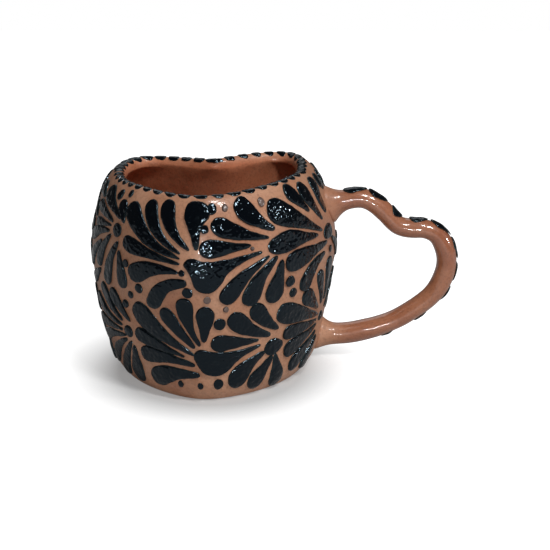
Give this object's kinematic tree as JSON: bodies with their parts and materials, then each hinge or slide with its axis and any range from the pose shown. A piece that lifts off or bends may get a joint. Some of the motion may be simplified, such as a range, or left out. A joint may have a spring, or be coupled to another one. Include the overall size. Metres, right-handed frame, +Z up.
{
  "type": "mug",
  "caption": "Heart-shaped glazed earthenware mug with a heart-shaped handle and raised dark enamel petals in feather fans",
  "frame": {"origin": "centre of the flat foot, on the plane the mug stands on", "axes": "+X points from the cup towards the handle, -Y faces the front point of the heart and +Y its notch, +Z is up"},
  "size_m": [0.1605, 0.0925, 0.0881],
  "materials": {
    "clay": "terracotta clay under a thin clear satin glaze",
    "dark_enamel": "thick glossy blue-black raised enamel",
    "grey_enamel": "thin grey-brown enamel"
  },
  "bodies": {
    "root": {"cup_body": "clay", "handle": "clay", "rim_dashes": "dark_enamel", "handle_dashes": "dark_enamel", "upper_left_fan": "dark_enamel", "upper_front_fan": "dark_enamel", "upper_right_fan": "dark_enamel", "upper_handle_fan": "dark_enamel", "lower_left_fan": "dark_enamel", "lower_front_fan": "dark_enamel", "lower_right_fan": "dark_enamel", "lower_handle_fan": "dark_enamel", "back_upper_left_fan": "dark_enamel", "back_upper_front_fan": "dark_enamel", "back_upper_right_fan": "dark_enamel", "back_upper_handle_fan": "dark_enamel", "back_lower_left_fan": "dark_enamel", "back_lower_front_fan": "dark_enamel", "back_lower_right_fan": "dark_enamel", "back_lower_handle_fan": "dark_enamel", "side_petals": "dark_enamel", "dark_dots": "dark_enamel", "grey_dots": "grey_enamel"}
  },
  "joints": []
}
